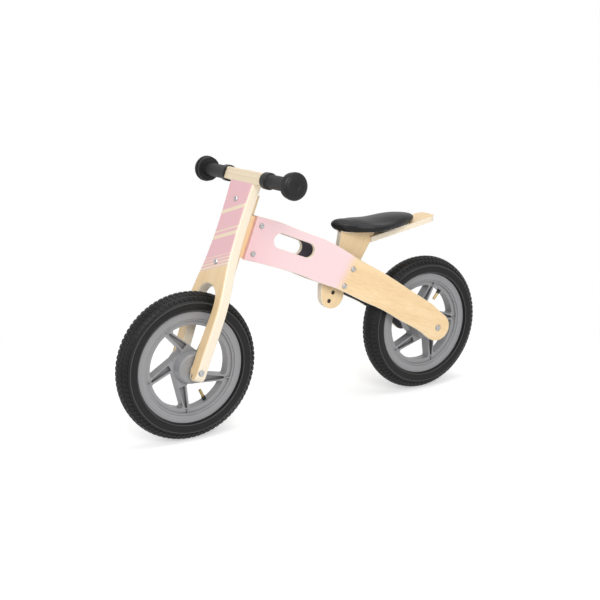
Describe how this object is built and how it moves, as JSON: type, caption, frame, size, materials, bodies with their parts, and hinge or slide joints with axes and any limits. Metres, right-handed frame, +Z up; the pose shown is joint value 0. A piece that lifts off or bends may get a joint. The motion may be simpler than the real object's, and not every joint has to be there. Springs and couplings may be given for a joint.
{
  "type": "balance bike",
  "caption": "Child's wooden balance bike with sprung plywood side boards, a one-piece board fork on a steering pin, spoked plastic wheels and a padded saddle.",
  "frame": {"origin": "on the floor, midway between the two axles, on the middle plane of the bike", "axes": "+X forward, +Y to the rider's left, +Z up; the steering is straight"},
  "size_m": [0.88, 0.364, 0.5375],
  "materials": {
    "frame_ply": "satin paint fading to clear lacquer",
    "fork_ply": "satin paint fading to clear lacquer",
    "natural_ply": "clear satin lacquer",
    "bar_wood": "clear satin lacquer",
    "steel": "zinc plated",
    "nylon": "matte",
    "rim_plastic": "satin",
    "tyre_rubber": "matte",
    "tube_rubber": "matte",
    "brass": "machined",
    "grip_rubber": "matte",
    "saddle_vinyl": "grained vinyl over foam"
  },
  "bodies": {
    "frame": {"frame_board_left": "frame_ply", "frame_board_right": "frame_ply", "head_block": "natural_ply", "head_bushes": "nylon", "head_bolts": "steel", "head_sleeve_nuts": "steel", "seat_post": "natural_ply", "post_spacers_left": "steel", "post_spacers_right": "steel", "seat_bolts": "steel", "seat_sleeve_nuts": "steel", "seat_base": "natural_ply", "seat_base_screws": "steel", "seat_brace": "natural_ply", "brace_screws": "steel", "seat_cushion": "saddle_vinyl", "rear_axle": "steel", "rear_axle_bolts": "steel", "rear_axle_washers": "steel", "rear_spacers": "nylon"},
    "fork": {"fork_board": "fork_ply", "pivot_bracket_upper": "natural_ply", "pivot_bracket_lower": "natural_ply", "steering_pin": "steel", "steering_pin_nut": "steel", "bracket_screws": "steel", "fork_end_screws": "steel", "handlebar": "bar_wood", "handlebar_dowels": "bar_wood", "grip_left": "grip_rubber", "grip_right": "grip_rubber", "front_axle": "steel", "front_axle_bolts": "steel", "front_axle_washers": "steel", "front_spacers": "nylon"},
    "front_wheel": {"front_tyre": "tyre_rubber", "front_inner_tube": "tube_rubber", "front_rim": "rim_plastic", "front_bearings": "steel", "front_valve_stem": "tube_rubber", "front_valve_tip": "brass"},
    "rear_wheel": {"rear_tyre": "tyre_rubber", "rear_inner_tube": "tube_rubber", "rear_rim": "rim_plastic", "rear_bearings": "steel", "rear_valve_stem": "tube_rubber", "rear_valve_tip": "brass"}
  },
  "joints": [
    {"name": "steering", "type": "hinge", "parent": "frame", "child": "fork", "pos_m": [0.16082, 0, 0.39764], "axis": [-0.3746, 0, 0.9272], "range_deg": [-40, 40]},
    {"name": "front_wheel_spin", "type": "hinge", "parent": "fork", "child": "front_wheel", "pos_m": [0.29, 0, 0.15], "axis": [0, 1, 0], "continuous": true},
    {"name": "rear_wheel_spin", "type": "hinge", "parent": "frame", "child": "rear_wheel", "pos_m": [-0.29, 0, 0.15], "axis": [0, 1, 0], "continuous": true}
  ]
}
